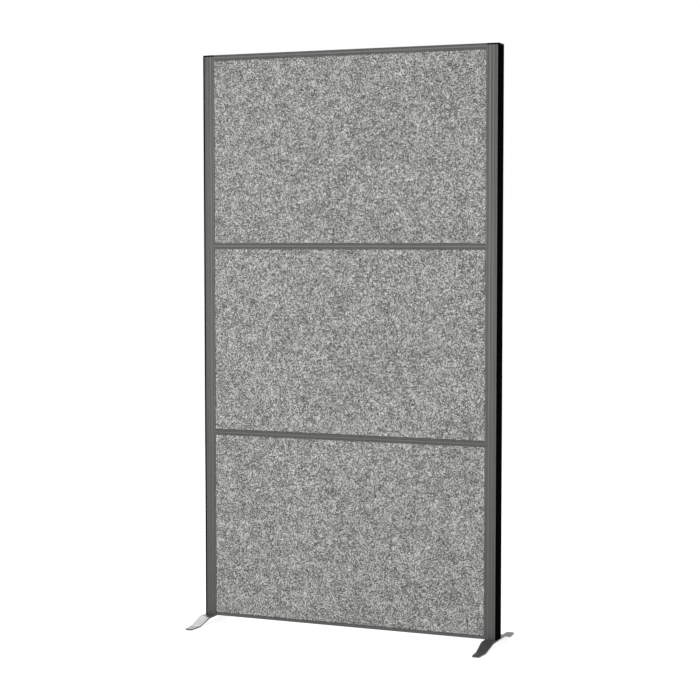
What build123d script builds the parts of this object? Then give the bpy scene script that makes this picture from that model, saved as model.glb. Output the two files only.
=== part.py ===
from build123d import *
import math
import os

os.makedirs("parts", exist_ok=True)

# A free-standing acoustic divider screen: three felt panels, one above the other, in a frame of
# fluted aluminium posts and rails on two bent steel feet.
# Millimetres. X runs along the screen, Y through it, Z up. The origin lies on the floor, under
# the middle of the screen, and the screen is the same in front and behind.

# Whole screen
FRAME_HALF_WIDTH = 489.9
FRAME_HEIGHT = 1800.0
DEPTH = 50.0
CUT_OVERRUN = 2.0

# Foot: a flat strip that is level under the post, slopes down and ends in a level toe
FOOT_HALF_LENGTH = 175.0
FOOT_THICKNESS = 4.0
FOOT_CENTRE_WIDTH = 39.2
FOOT_TOE_WIDTH = 23.0
FOOT_RISE = 21.0
FOOT_FLAT_HALF = 58.5
FOOT_SLOPE_DEGREES = 15.6
FOOT_BEND_RADIUS = 24.0
FOOT_TOE_CORNER = 5.4
FOOT_INSET = 11.4

# Pad under each toe
PAD_THICKNESS = 1.0
PAD_LENGTH = 30.0
PAD_WIDTH = 16.0
PAD_TOE_SETBACK = 5.0
PAD_CORNER = 4.0

# Post section: u runs inwards from the outer side, and v from the middle to the front
POST_WIDTH = 34.4
POST_BOW = 3.4
POST_WALL = 1.8
POST_RIB = 1.5
POST_EDGE_ROUNDING = 0.9
FLUTE_WIDTH = 5.2
FLUTE_DEPTH = 1.7
POST_FLUTE_PLACES = (6.8, 17.1, 28.6)
PANEL_GROOVE_DEPTH = 9.0
GROOVE_CLEARANCE = 0.25

# Slot along the post's outer side that holds the edge strip
SLOT_MOUTH_HALF = 3.5
SLOT_LIP = 1.6
SLOT_DEPTH = 6.4

# Edge strip: a cover with two barbed legs
STRIP_THICKNESS = 5.4
STRIP_EDGE_ROUNDING = 1.6
STRIP_LEG = 1.2
STRIP_LEG_CLEARANCE = 0.15
STRIP_BARB = 1.2
STRIP_BARB_HEIGHT = 2.6

# Top cap
CAP_THICKNESS = 5.0
CAP_END_ROUNDING = 1.8
CAP_PLUG_DEPTH = 12.0
CAP_PLUG_CLEARANCE = 0.2
CAP_PLUG_WALL = 1.6

# Rails
MID_RAIL_HEIGHT = 18.0
TOP_RAIL_HEIGHT = 17.8
BOTTOM_RAIL_HEIGHT = 9.2
BOTTOM_RAIL_FLOOR = 2.2
RAIL_WALL = 1.5
RAIL_EDGE_ROUNDING = 0.7
RAIL_FLUTE_WIDTH = 4.0
RAIL_FLUTE_DEPTH = 1.2
RAIL_FLUTE_OFFSET = 4.75

# Screw that holds a rail's end to the post, with its six-sided head in the post's middle chamber
SCREW_CORE_RADIUS = 2.15
SCREW_PORT_CLEARANCE = 0.05
SCREW_PORT_WALL = 1.2
SCREW_LENGTH = 22.0
SCREW_HOLE_CLEARANCE = 0.5
SCREW_HEAD_RADIUS = 4.6
SCREW_HEAD_HEIGHT = 3.5
HEAD_CLEARANCE = 0.3

# Panel: a board with a felt face on each side
FELT_THICKNESS = 9.0
FELT_RECESS = 0.5
FELT_EDGE_GAP = 0.3
FELT_EDGE_ROUNDING = 1.2
CORE_END_CLEARANCE = 0.8
CORE_RAIL_CLEARANCE = 0.4

# Foot fastening
INSERT_HEIGHT = 28.0
INSERT_CLEARANCE = 0.2
BOLT_RADIUS = 4.0
BOLT_LENGTH = 24.0
BOLT_THREAD_CLEARANCE = 0.05
BOLT_HOLE_CLEARANCE = 0.4
BOLT_HEAD_RADIUS = 7.5
BOLT_HEAD_HEIGHT = 5.3

# Heights and widths that follow
HALF_DEPTH = DEPTH / 2
FRAME_BASE = PAD_THICKNESS + FOOT_RISE
FRAME_TOP = FRAME_BASE + FRAME_HEIGHT
POST_TOP = FRAME_TOP - CAP_THICKNESS
OPENING_HALF_WIDTH = FRAME_HALF_WIDTH - POST_WIDTH
PANEL_HEIGHT = (FRAME_HEIGHT - TOP_RAIL_HEIGHT - BOTTOM_RAIL_HEIGHT - 2 * MID_RAIL_HEIGHT) / 3
LOWER_MID_BASE = FRAME_BASE + BOTTOM_RAIL_HEIGHT + PANEL_HEIGHT
UPPER_MID_BASE = LOWER_MID_BASE + MID_RAIL_HEIGHT + PANEL_HEIGHT
TOP_RAIL_BASE = FRAME_TOP - TOP_RAIL_HEIGHT
STRIP_HALF_DEPTH = HALF_DEPTH - POST_BOW
CORE_HALF_DEPTH = HALF_DEPTH - FELT_RECESS - FELT_THICKNESS
GROOVE_HALF_DEPTH = CORE_HALF_DEPTH + GROOVE_CLEARANCE
GROOVE_FLOOR = POST_WIDTH - PANEL_GROOVE_DEPTH
SCREW_PORT_BORE = SCREW_CORE_RADIUS + SCREW_PORT_CLEARANCE
SCREW_PORT_RADIUS = SCREW_PORT_BORE + SCREW_PORT_WALL
RAIL_WEB = 2 * SCREW_PORT_RADIUS
MID_RAIL_GROOVE = (MID_RAIL_HEIGHT - RAIL_WEB) / 2
BOTTOM_RAIL_GROOVE = BOTTOM_RAIL_HEIGHT - BOTTOM_RAIL_FLOOR
TOP_SCREW_HEIGHT = POST_TOP - 2 * HEAD_CLEARANCE - SCREW_HEAD_RADIUS
TOP_RAIL_GROOVE = TOP_SCREW_HEIGHT - RAIL_WEB / 2 - TOP_RAIL_BASE
RAIL_TONGUE = PANEL_GROOVE_DEPTH
SLOT_POCKET_HALF = SCREW_HEAD_RADIUS + 2 * HEAD_CLEARANCE
FOOT_CENTRE_X = FRAME_HALF_WIDTH - FOOT_INSET
SLOT_BACK = SLOT_DEPTH + POST_RIB
CHAMBER_NEAR = SLOT_POCKET_HALF + POST_RIB


def mirrored(shape):
    """The same piece on the screen's left side."""
    return mirror(shape, about=Plane.YZ)


def write(name, shape):
    """Write one piece, or one group of equal pieces, under its own name."""
    export_step(shape, f"parts/{name}.step")


def write_pair(name, shape):
    """Write the right-hand piece and its mirror image on the left."""
    write(f"{name}_right", shape)
    write(f"{name}_left", mirrored(shape))


def rectangle(u_low, u_high, v_low, v_high):
    """A face between two corners."""
    middle = Location(((u_low + u_high) / 2, (v_low + v_high) / 2))
    return middle * Rectangle(u_high - u_low, v_high - v_low)


def both_sides(face, about=Plane.XZ):
    """A face and its mirror image across the section's middle line."""
    return [face, mirror(face, about=about)]


def without(section, tools):
    """A section with each tool cut out of it."""
    for tool in tools:
        section = section - tool
    return section


def flute_radius(width, depth):
    """Radius of a round-bottomed flute with this width and depth."""
    return (width * width / 4 + depth * depth) / (2 * depth)


def bow_radius():
    """Radius of the post's bowed face, which is level where it meets the felt."""
    return (POST_WIDTH**2 + POST_BOW**2) / (2 * POST_BOW)


def face_setback(u):
    """How far the bowed face lies behind the screen's front at a distance u from the outer side."""
    radius = bow_radius()
    return radius - math.sqrt(radius**2 - (POST_WIDTH - u) ** 2)


def corners_near(face, points):
    """The face's corners that lie nearest to the given points."""
    return [min(face.vertices(), key=lambda corner: (Vector(corner) - Vector(*point)).length) for point in points]


def bowed_outline(inset, u_low, u_high):
    """The post's outline, moved in by an inset, between two distances from the outer side."""
    radius = bow_radius() - inset
    centre_v = HALF_DEPTH - bow_radius()

    def front(u):
        return centre_v + math.sqrt(radius**2 - (POST_WIDTH - u) ** 2)

    corners = [(u_low, front(u_low)), (u_high, front(u_high))]
    middle = ((u_low + u_high) / 2, front((u_low + u_high) / 2))
    top = ThreePointArc(corners[0], middle, corners[1])
    inner_side = Line(corners[1], (u_high, -front(u_high)))
    bottom = mirror(top, about=Plane.XZ)
    outer_side = Line((u_low, -front(u_low)), corners[0])
    return make_face([top, inner_side, bottom, outer_side])


def post_flutes():
    """Round tools that cut the flutes into the bowed faces, front and back."""
    radius = flute_radius(FLUTE_WIDTH, FLUTE_DEPTH)
    tools = []
    for u in POST_FLUTE_PLACES:
        v = HALF_DEPTH - face_setback(u) - FLUTE_DEPTH + radius
        tools += both_sides(Location((u, v)) * Circle(radius))
    return tools


def post_chambers():
    """The hollows inside the post: two large side chambers and one behind the strip's slot."""
    skin = POST_WALL + FLUTE_DEPTH
    chamber_end = GROOVE_FLOOR - POST_RIB
    side = bowed_outline(skin, POST_WALL, chamber_end) - rectangle(
        0, POST_WIDTH, -CHAMBER_NEAR, CHAMBER_NEAR
    )
    cheek = bowed_outline(skin, chamber_end, POST_WIDTH - POST_RIB) - rectangle(
        0, POST_WIDTH, -GROOVE_HALF_DEPTH - POST_RIB, GROOVE_HALF_DEPTH + POST_RIB
    )
    middle = rectangle(SLOT_BACK, chamber_end, -SLOT_POCKET_HALF, SLOT_POCKET_HALF)
    return [side, cheek, middle]


def strip_slot():
    """The undercut slot along the outer side: a narrow mouth and a wider pocket."""
    mouth = rectangle(-CUT_OVERRUN, SLOT_LIP + CUT_OVERRUN, -SLOT_MOUTH_HALF, SLOT_MOUTH_HALF)
    pocket = rectangle(SLOT_LIP, SLOT_DEPTH, -SLOT_POCKET_HALF, SLOT_POCKET_HALF)
    return [mouth, pocket]


def post_section():
    """The post's hollow section."""
    outline = bowed_outline(0, 0, POST_WIDTH)
    edge = HALF_DEPTH - face_setback(0)
    rounded = [(0, edge), (0, -edge), (POST_WIDTH, HALF_DEPTH), (POST_WIDTH, -HALF_DEPTH)]
    outline = fillet(corners_near(outline, rounded), POST_EDGE_ROUNDING)
    groove = rectangle(GROOVE_FLOOR, POST_WIDTH + CUT_OVERRUN, -GROOVE_HALF_DEPTH, GROOVE_HALF_DEPTH)
    return without(outline, [groove, *post_flutes(), *post_chambers(), *strip_slot()])


def in_post(section, height, base):
    """A section of the right-hand post, raised from a base."""
    solid = extrude(section, amount=height)
    return Location((FRAME_HALF_WIDTH, 0, base)) * mirror(solid, about=Plane.YZ)


def screw_heights():
    """Heights of the screws: the middle of the web of each rail above the bottom one."""
    centre = MID_RAIL_HEIGHT / 2
    return (LOWER_MID_BASE + centre, UPPER_MID_BASE + centre, TOP_SCREW_HEIGHT)


def along_x(radius, start, length, z):
    """A round bar along X, in the middle of the screen's depth."""
    return Location((start, 0, z), (0, 90, 0)) * extrude(Circle(radius), amount=length)


def post():
    """Right-hand post with screw holes in the groove's floor, reached through the strip's slot."""
    solid = in_post(post_section(), POST_TOP - FRAME_BASE, FRAME_BASE)
    floor = FRAME_HALF_WIDTH - GROOVE_FLOOR - CUT_OVERRUN
    outer = FRAME_HALF_WIDTH - SLOT_BACK - CUT_OVERRUN
    tools = []
    for z in screw_heights():
        tools.append(along_x(SCREW_CORE_RADIUS + SCREW_HOLE_CLEARANCE, floor, POST_RIB + 2 * CUT_OVERRUN, z))
        tools.append(along_x(SCREW_HEAD_RADIUS + HEAD_CLEARANCE, outer, SLOT_BACK + 2 * CUT_OVERRUN, z))
    return solid - tools


def edge_strip():
    """Right-hand cover strip with two barbed legs in the post's slot."""
    cover = rectangle(-STRIP_THICKNESS, 0, -STRIP_HALF_DEPTH, STRIP_HALF_DEPTH)
    outer = [(-STRIP_THICKNESS, STRIP_HALF_DEPTH), (-STRIP_THICKNESS, -STRIP_HALF_DEPTH)]
    cover = fillet(corners_near(cover, outer), STRIP_EDGE_ROUNDING)
    leg_outer = SLOT_MOUTH_HALF - STRIP_LEG_CLEARANCE
    leg_inner = leg_outer - STRIP_LEG
    barb_start = SLOT_LIP + STRIP_LEG_CLEARANCE
    barb_end = barb_start + STRIP_BARB_HEIGHT
    leg = Polyline(
        (0, leg_inner),
        (0, leg_outer),
        (barb_start, leg_outer),
        (barb_start, leg_outer + STRIP_BARB),
        (barb_end, leg_outer),
        (barb_end, leg_inner),
        close=True,
    )
    section = cover + both_sides(make_face(leg))
    return in_post(section, POST_TOP - FRAME_BASE, FRAME_BASE)


def cap_plugs():
    """Two hollow plugs that fit the post's side chambers."""
    skin = POST_WALL + FLUTE_DEPTH + CAP_PLUG_CLEARANCE
    near = CHAMBER_NEAR + CAP_PLUG_CLEARANCE
    u_low = POST_WALL + CAP_PLUG_CLEARANCE
    u_high = GROOVE_FLOOR - POST_RIB - CAP_PLUG_CLEARANCE
    wall = CAP_PLUG_WALL
    plug = bowed_outline(skin, u_low, u_high) - rectangle(0, POST_WIDTH, -near, near)
    hollow = bowed_outline(skin + wall, u_low + wall, u_high - wall)
    hollow = hollow - rectangle(0, POST_WIDTH, -near - wall, near + wall)
    return plug - hollow


def top_cap():
    """Right-hand cap over post and strip, rounded down at its outer end."""
    plate = bowed_outline(0, 0, POST_WIDTH)
    plate = fillet(corners_near(plate, [(POST_WIDTH, HALF_DEPTH), (POST_WIDTH, -HALF_DEPTH)]), POST_EDGE_ROUNDING)
    over_strip = rectangle(-STRIP_THICKNESS, POST_RIB, -STRIP_HALF_DEPTH, STRIP_HALF_DEPTH)
    outer = [(-STRIP_THICKNESS, STRIP_HALF_DEPTH), (-STRIP_THICKNESS, -STRIP_HALF_DEPTH)]
    over_strip = fillet(corners_near(over_strip, outer), STRIP_EDGE_ROUNDING)
    solid = in_post(plate + over_strip, CAP_THICKNESS, POST_TOP)
    length = STRIP_THICKNESS + POST_WIDTH
    block = Box(length, DEPTH, CAP_THICKNESS, align=(Align.MAX, Align.CENTER, Align.MAX))
    outer_edge = block.edges().filter_by(Axis.Y).group_by(Axis.Z)[-1].sort_by(Axis.X)[-1]
    rounded_block = fillet(outer_edge, CAP_END_ROUNDING)
    solid = solid & (Location((FRAME_HALF_WIDTH + STRIP_THICKNESS, 0, FRAME_TOP)) * rounded_block)
    plugs = in_post(cap_plugs(), CAP_PLUG_DEPTH, POST_TOP - CAP_PLUG_DEPTH)
    return solid + plugs


def rail_chambers(height):
    """The hollows along a rail's front and back."""
    near = GROOVE_HALF_DEPTH + RAIL_WALL
    far = HALF_DEPTH - RAIL_FLUTE_DEPTH - RAIL_WALL
    return both_sides(rectangle(near, far, RAIL_WALL, height - RAIL_WALL), Plane.YZ)


def rail_flutes(flute_heights):
    """Round tools that cut the flutes into a rail's faces, front and back."""
    radius = flute_radius(RAIL_FLUTE_WIDTH, RAIL_FLUTE_DEPTH)
    tools = []
    for flute in flute_heights:
        tools += both_sides(Location((HALF_DEPTH - RAIL_FLUTE_DEPTH + radius, flute)) * Circle(radius), Plane.YZ)
    return tools


def rail_web_hollows(groove):
    """The screw port in a rail's web, above its lower groove, and the hollows beside it."""
    low, high = groove + RAIL_WALL, groove + RAIL_WEB - RAIL_WALL
    beside = rectangle(SCREW_PORT_RADIUS, GROOVE_HALF_DEPTH, low, high)
    port = Location((0, groove + RAIL_WEB / 2)) * Circle(SCREW_PORT_BORE)
    return [port, *both_sides(beside, Plane.YZ)]


def rail_blank(height, flute_heights):
    """A rail's outline across Y and Z, from its base, with its faces fluted and its chambers open."""
    outline = rectangle(-HALF_DEPTH, HALF_DEPTH, 0, height)
    corners = [(v, z) for v in (-HALF_DEPTH, HALF_DEPTH) for z in (0, height)]
    section = fillet(corners_near(outline, corners), RAIL_EDGE_ROUNDING)
    return without(section, [*rail_chambers(height), *rail_flutes(flute_heights)])


def groove_for_panel(low, high):
    """A tool for a rail's panel groove between two heights."""
    return rectangle(-GROOVE_HALF_DEPTH, GROOVE_HALF_DEPTH, low, high)


def rail(section, height, base):
    """A rail between the posts, whose middle runs on as a tongue to the floor of each post's groove."""
    full_half = OPENING_HALF_WIDTH + RAIL_TONGUE
    along = Plane(origin=(-full_half, 0, base), x_dir=(0, 1, 0), z_dir=(1, 0, 0))
    solid = extrude(along * section, amount=2 * full_half)
    tongue_half = GROOVE_HALF_DEPTH - GROOVE_CLEARANCE
    kept = Box(2 * OPENING_HALF_WIDTH, DEPTH, height, align=(Align.CENTER, Align.CENTER, Align.MIN))
    tongue_height = min(height, POST_TOP - base)
    tongues = Box(2 * full_half, 2 * tongue_half, tongue_height, align=(Align.CENTER, Align.CENTER, Align.MIN))
    return solid & (Location((0, 0, base)) * (kept + tongues))


def face_flutes(height):
    """Heights of the two flutes on a rail's face, above the rail's base."""
    centre = height / 2
    return (centre - RAIL_FLUTE_OFFSET, centre + RAIL_FLUTE_OFFSET)


def mid_rail(base):
    """One of the two middle rails, with a groove for a panel above and below."""
    web_top = MID_RAIL_GROOVE + RAIL_WEB
    below = groove_for_panel(-CUT_OVERRUN, MID_RAIL_GROOVE)
    above = groove_for_panel(web_top, MID_RAIL_HEIGHT + CUT_OVERRUN)
    cuts = [below, above, *rail_web_hollows(MID_RAIL_GROOVE)]
    section = without(rail_blank(MID_RAIL_HEIGHT, face_flutes(MID_RAIL_HEIGHT)), cuts)
    return rail(section, MID_RAIL_HEIGHT, base)


def top_rail():
    """The top rail, closed above, with the same grooved face as a middle rail."""
    inner = GROOVE_HALF_DEPTH - RAIL_WALL
    below = groove_for_panel(-CUT_OVERRUN, TOP_RAIL_GROOVE)
    hollow = rectangle(-inner, inner, TOP_RAIL_GROOVE + RAIL_WEB, TOP_RAIL_HEIGHT - RAIL_WALL)
    cuts = [below, hollow, *rail_web_hollows(TOP_RAIL_GROOVE)]
    section = without(rail_blank(TOP_RAIL_HEIGHT, face_flutes(TOP_RAIL_HEIGHT)), cuts)
    return rail(section, TOP_RAIL_HEIGHT, TOP_RAIL_BASE)


def bottom_rail():
    """The low bottom rail, a channel whose tongues stand on the feet."""
    above = groove_for_panel(BOTTOM_RAIL_FLOOR, BOTTOM_RAIL_HEIGHT + CUT_OVERRUN)
    return rail(without(rail_blank(BOTTOM_RAIL_HEIGHT, ()), [above]), BOTTOM_RAIL_HEIGHT, FRAME_BASE)


def panel_core(base, groove_below, groove_above):
    """The board inside a panel, with its edges in the grooves of posts and rails."""
    low = base - groove_below + CORE_RAIL_CLEARANCE
    high = base + PANEL_HEIGHT + groove_above - CORE_RAIL_CLEARANCE
    half_width = OPENING_HALF_WIDTH + PANEL_GROOVE_DEPTH - CORE_END_CLEARANCE
    board = Box(2 * half_width, 2 * CORE_HALF_DEPTH, high - low, align=(Align.CENTER, Align.CENTER, Align.MIN))
    return Location((0, 0, low)) * board


def felt_face(base):
    """The felt on a panel's front, with softly rounded outer edges."""
    width = 2 * (OPENING_HALF_WIDTH - FELT_EDGE_GAP)
    height = PANEL_HEIGHT - 2 * FELT_EDGE_GAP
    sheet = Box(width, FELT_THICKNESS, height, align=(Align.CENTER, Align.MAX, Align.MIN))
    front = sheet.faces().sort_by(Axis.Y)[0]
    sheet = fillet(front.edges(), FELT_EDGE_ROUNDING)
    return Location((0, -CORE_HALF_DEPTH, base + FELT_EDGE_GAP)) * sheet


def foot_side():
    """The foot's bent strip seen from the side: half of its outline, from the middle to the toe."""
    slope = math.radians(FOOT_SLOPE_DEGREES)
    drop = FOOT_RISE - FOOT_THICKNESS
    inner = FOOT_BEND_RADIUS
    outer = FOOT_BEND_RADIUS + FOOT_THICKNESS
    bend_drop = (inner + outer) * (1 - math.cos(slope))
    run = (drop - bend_drop) / math.tan(slope)
    bend_run = (inner + outer) * math.sin(slope)
    slope_end = FOOT_FLAT_HALF + bend_run + run
    top, toe_top = FOOT_RISE, FOOT_THICKNESS

    def bend(centre, radius, start, sweep):
        return CenterArc(centre, radius, start, sweep)

    upper_centre = (FOOT_FLAT_HALF, top - outer)
    lower_centre = (slope_end, toe_top + inner)
    first_top = bend(upper_centre, outer, 90, -FOOT_SLOPE_DEGREES)
    second_top = bend(lower_centre, inner, 270 - FOOT_SLOPE_DEGREES, FOOT_SLOPE_DEGREES)
    first_under = bend(upper_centre, inner, 90, -FOOT_SLOPE_DEGREES)
    second_under = bend(lower_centre, outer, 270 - FOOT_SLOPE_DEGREES, FOOT_SLOPE_DEGREES)
    return [
        Line((0, top), first_top @ 0),
        first_top,
        Line(first_top @ 1, second_top @ 0),
        second_top,
        Line(second_top @ 1, (FOOT_HALF_LENGTH, toe_top)),
        Line((FOOT_HALF_LENGTH, toe_top), (FOOT_HALF_LENGTH, 0)),
        Line((FOOT_HALF_LENGTH, 0), second_under @ 1),
        second_under,
        Line(second_under @ 0, first_under @ 1),
        first_under,
        Line(first_under @ 0, (0, top - FOOT_THICKNESS)),
        Line((0, top - FOOT_THICKNESS), (0, top)),
    ]


def foot_plan():
    """The foot seen from above: level width under the post, then straight tapers to rounded toes."""
    half, toe_half = FOOT_CENTRE_WIDTH / 2, FOOT_TOE_WIDTH / 2
    corners = [
        (half, -FOOT_FLAT_HALF),
        (half, FOOT_FLAT_HALF),
        (toe_half, FOOT_HALF_LENGTH),
        (-toe_half, FOOT_HALF_LENGTH),
        (-half, FOOT_FLAT_HALF),
        (-half, -FOOT_FLAT_HALF),
        (-toe_half, -FOOT_HALF_LENGTH),
        (toe_half, -FOOT_HALF_LENGTH),
    ]
    plan = make_face(Polyline(*corners, close=True))
    toes = [corners[index] for index in (2, 3, 6, 7)]
    return fillet(corners_near(plan, toes), FOOT_TOE_CORNER)


def bolt_places():
    """Places through the screen of a foot's two bolts: the middle of the post's side chambers."""
    chamber_far = HALF_DEPTH - face_setback(FOOT_INSET) - POST_WALL - FLUTE_DEPTH
    middle = (CHAMBER_NEAR + chamber_far) / 2
    return (-middle, middle)


def foot():
    """Right-hand foot with its two bolt holes."""
    side = make_face(foot_side())
    upright = Plane(origin=(-FOOT_CENTRE_WIDTH, 0, 0), x_dir=(0, 1, 0), z_dir=(1, 0, 0))
    half = extrude(upright * side, amount=2 * FOOT_CENTRE_WIDTH)
    strip = half + mirror(half, about=Plane.XZ)
    solid = strip & extrude(foot_plan(), amount=FOOT_RISE)
    for y in bolt_places():
        hole = Cylinder(BOLT_RADIUS + BOLT_HOLE_CLEARANCE, 2 * FOOT_RISE)
        solid = solid - Location((0, y, FOOT_RISE)) * hole
    return Location((FOOT_CENTRE_X, 0, PAD_THICKNESS)) * solid


def foot_pads():
    """Thin pads with cut corners under both toes of the right-hand foot."""
    plan = Rectangle(PAD_WIDTH, PAD_LENGTH)
    pad = extrude(chamfer(plan.vertices(), PAD_CORNER), amount=PAD_THICKNESS)
    y = FOOT_HALF_LENGTH - PAD_TOE_SETBACK - PAD_LENGTH / 2
    return Compound([Location((FOOT_CENTRE_X, side * y, 0)) * pad for side in (-1, 1)])


def foot_inserts():
    """Threaded blocks in the lower end of the right-hand post's side chambers."""
    skin = POST_WALL + FLUTE_DEPTH + INSERT_CLEARANCE
    near = CHAMBER_NEAR + INSERT_CLEARANCE
    section = bowed_outline(skin, POST_WALL + INSERT_CLEARANCE, GROOVE_FLOOR - POST_RIB - INSERT_CLEARANCE)
    section = section - rectangle(0, POST_WIDTH, -near, near)
    blocks = in_post(section, INSERT_HEIGHT, FRAME_BASE)
    for y in bolt_places():
        bore = Cylinder(BOLT_RADIUS + BOLT_THREAD_CLEARANCE, 2 * INSERT_HEIGHT + 2 * CUT_OVERRUN)
        blocks = blocks - Location((FOOT_CENTRE_X, y, FRAME_BASE)) * bore
    return Compound(blocks.solids())


def six_sided(shank_radius, length, head_radius, head_height):
    """A screw or bolt with a six-sided head, its shank along +Z from zero."""
    shank = extrude(Circle(shank_radius), amount=length)
    return shank + extrude(RegularPolygon(head_radius, 6), amount=-head_height)


def rail_screws():
    """Screws from the right-hand post's middle chamber into the ports of the rails."""
    screw = six_sided(SCREW_CORE_RADIUS, SCREW_LENGTH, SCREW_HEAD_RADIUS, SCREW_HEAD_HEIGHT)
    seat = FRAME_HALF_WIDTH - GROOVE_FLOOR + POST_RIB
    return Compound([Location((seat, 0, z), (0, -90, 0)) * screw for z in screw_heights()])


def foot_bolts():
    """Bolts from below through the right-hand foot into the inserts."""
    bolt = six_sided(BOLT_RADIUS, BOLT_LENGTH, BOLT_HEAD_RADIUS, BOLT_HEAD_HEIGHT)
    z = FRAME_BASE - FOOT_THICKNESS
    return Compound([Location((FOOT_CENTRE_X, y, z)) * bolt for y in bolt_places()])


# Each panel's name and base, with the grooves that its board stands in and reaches up into
PANELS = (
    ("lower", FRAME_BASE + BOTTOM_RAIL_HEIGHT, BOTTOM_RAIL_GROOVE, MID_RAIL_GROOVE),
    ("middle", LOWER_MID_BASE + MID_RAIL_HEIGHT, MID_RAIL_GROOVE, MID_RAIL_GROOVE),
    ("upper", UPPER_MID_BASE + MID_RAIL_HEIGHT, MID_RAIL_GROOVE, TOP_RAIL_GROOVE),
)

write_pair("post", post())
write_pair("edge_strip", edge_strip())
write_pair("top_cap", top_cap())
write("top_rail", top_rail())
write("upper_mid_rail", mid_rail(UPPER_MID_BASE))
write("lower_mid_rail", mid_rail(LOWER_MID_BASE))
write("bottom_rail", bottom_rail())
for level, panel_base, groove_below, groove_above in PANELS:
    felt = felt_face(panel_base)
    write(f"panel_core_{level}", panel_core(panel_base, groove_below, groove_above))
    write(f"felt_front_{level}", felt)
    write(f"felt_back_{level}", mirror(felt, about=Plane.XZ))
write_pair("foot", foot())
write_pair("foot_pads", foot_pads())
write_pair("foot_inserts", foot_inserts())
write_pair("foot_bolts", foot_bolts())
write_pair("rail_screws", rail_screws())
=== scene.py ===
import logging
import math
from dataclasses import dataclass
from enum import Enum

import bmesh
import bpy
import numpy as np
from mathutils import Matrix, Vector


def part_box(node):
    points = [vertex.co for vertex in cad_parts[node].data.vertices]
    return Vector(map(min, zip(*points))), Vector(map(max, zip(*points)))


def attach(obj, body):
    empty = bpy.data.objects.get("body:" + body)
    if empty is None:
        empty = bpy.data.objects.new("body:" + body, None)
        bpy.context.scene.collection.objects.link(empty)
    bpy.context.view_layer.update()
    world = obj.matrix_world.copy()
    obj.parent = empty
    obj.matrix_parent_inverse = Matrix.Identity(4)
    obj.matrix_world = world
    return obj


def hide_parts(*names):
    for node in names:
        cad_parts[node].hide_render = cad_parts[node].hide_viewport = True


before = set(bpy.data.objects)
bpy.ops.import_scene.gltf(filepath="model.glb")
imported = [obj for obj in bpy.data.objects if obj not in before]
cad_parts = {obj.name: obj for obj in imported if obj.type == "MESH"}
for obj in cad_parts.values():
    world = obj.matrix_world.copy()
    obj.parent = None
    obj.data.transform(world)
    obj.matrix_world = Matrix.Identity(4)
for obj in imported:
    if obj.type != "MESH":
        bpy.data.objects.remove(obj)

# An acoustic divider screen: three felt panels, one above the other, in a fluted aluminium frame on two bent
# steel feet. The frame, its black strips and caps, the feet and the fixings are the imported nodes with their
# finishes. Each felt face is made here, as a stretched sheet with its loose fibres.
#
# Lengths are in metres. In the finishes, a scale is how many patches of a pattern there are for each metre, a
# depth how high its relief is, a share how large a part of the tone it makes, tones the factors of the colour
# where it is darkest and lightest, and a roughness the two limits that the surface's roughness lies between.

LOG = logging.getLogger("divider_screen")
UV_MAP = "OFBake"  # the name of the UV map that the felt sheets and their fibres carry
FIBRE_SHADE = "shade"  # the attribute that holds each loose fibre's own shade
SHEET_SEED, FIBRE_SEED = 4100, 70  # the first felt face's seeds. Each next face has the next number.
NEAR = 1e-6  # places nearer than this are the same
Colour = tuple[float, float, float]
Place = tuple[float, float, float]
Span = tuple[float, float]
Socket = bpy.types.NodeSocket
Value = object  # a number, a vector, a colour, or the socket that gives one
Inputs = dict[str | int, Value]  # values for a node's inputs, by their names or places
USUAL: Span = (0.3, 0.7)  # the limits between which most of a noise pattern lies


class Level(Enum):
    """The height at which a panel stands in the frame."""

    UPPER = "upper"
    MIDDLE = "middle"
    LOWER = "lower"


class Side(Enum):
    """The side of the screen that a felt face covers, with the sign of its outward direction along Y."""

    FRONT = ("front", -1.0)
    BACK = ("back", 1.0)

    @property
    def word(self) -> str:
        """The side's name, as the felt nodes use it."""
        return self.value[0]

    @property
    def outward(self) -> float:
        """The sign of the outward direction along Y."""
        return self.value[1]


class Grain(Enum):
    """The way in which an extrusion's drawing lines run, as the reach of one line along X, Y and Z."""

    UPRIGHT = (0.0011, 0.0011, 0.31)
    ACROSS = (0.31, 0.0011, 0.0011)


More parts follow.
